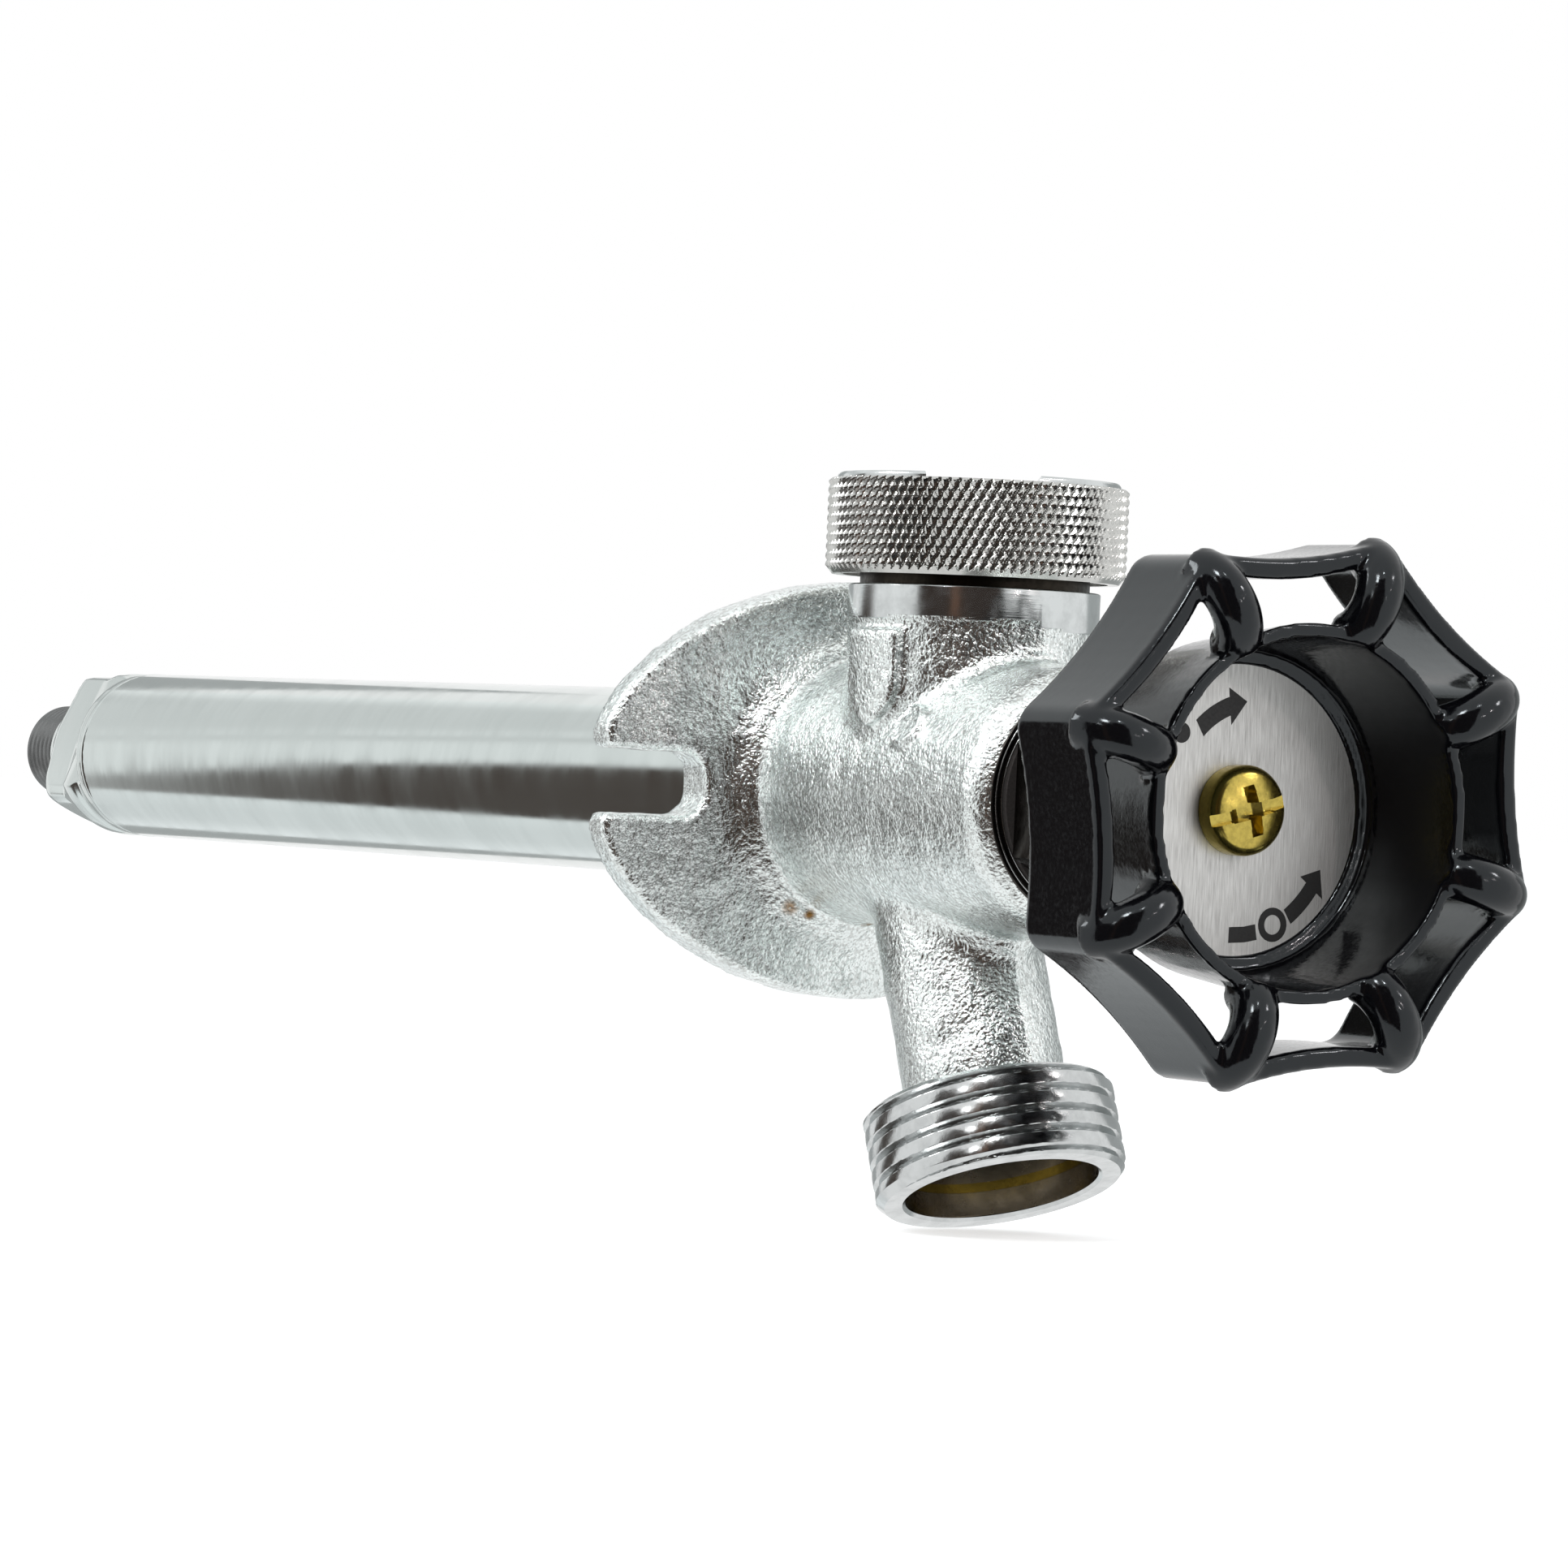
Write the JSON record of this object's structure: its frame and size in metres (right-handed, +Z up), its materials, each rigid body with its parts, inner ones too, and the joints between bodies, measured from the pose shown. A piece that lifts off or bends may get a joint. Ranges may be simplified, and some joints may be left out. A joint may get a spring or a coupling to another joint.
{
  "type": "frost free sillcock",
  "caption": "Wall-mounted frost free outside tap with oval flange, long frost tube, vacuum breaker cap, tilted hose spout and lobed hand wheel.",
  "frame": {"origin": "centre of the flange's flat wall face, on the axis of the frost tube", "axes": "+Y into the wall along the frost tube, +Z up through the vacuum breaker, +X to the right of the person who faces the wall"},
  "size_m": [0.0626, 0.293, 0.0802],
  "materials": {
    "plated_casting": "bright nickel and chrome plate over rough sand-cast metal",
    "plated_tube": "smooth bright plate",
    "knurled_cap": "bright plate over a diamond knurl",
    "brass": "plain turned brass",
    "braze": "braze metal",
    "black_handle": "gloss black paint over cast metal",
    "brushed_plate": "brushed with fine circular lines",
    "steel_pin": "plain steel",
    "rubber": "black rubber",
    "fibre_gasket": "pressed fibre",
    "packing": "graphited packing",
    "white_plastic": "moulded plastic"
  },
  "bodies": {
    "body": {"body_casting": "plated_casting", "outer_tube": "plated_tube", "tube_braze_ring": "braze", "inlet_fitting": "plated_tube", "bonnet": "plated_casting", "bonnet_gasket": "fibre_gasket", "stem_packing": "packing", "packing_gland": "brass", "packing_nut": "plated_casting", "vacuum_breaker_cap": "knurled_cap", "vacuum_breaker_bonnet": "brass", "bonnet_o_ring": "rubber", "vacuum_breaker_guide": "white_plastic"},
    "washer_carrier": {"washer_holder": "brass", "swivel_pin": "steel_pin", "seat_washer": "rubber", "washer_screw": "brass"},
    "hand_wheel": {"handle": "black_handle", "handle_plate": "brushed_plate", "handle_screw": "brass", "valve_stem": "brass", "stem_rod": "brass", "rod_pin": "steel_pin"},
    "poppet": {"vacuum_breaker_poppet": "white_plastic", "poppet_seal": "rubber"}
  },
  "joints": [
    {"name": "stem_slide", "type": "slide", "parent": "body", "child": "washer_carrier", "axis": [0, -1, 0], "range_m": [0, 0.00555]},
    {"name": "wheel_turn", "type": "hinge", "parent": "washer_carrier", "child": "hand_wheel", "pos_m": [0, 0, 0], "axis": [0, -1, 0], "range_deg": [0, 630]},
    {"name": "poppet_lift", "type": "slide", "parent": "body", "child": "poppet", "axis": [0, 0, 1], "range_m": [0, 0.0021]}
  ],
  "couplings": [
    {"joint": "wheel_turn", "follows": "stem_slide", "rad_per_m": 1981.1}
  ]
}
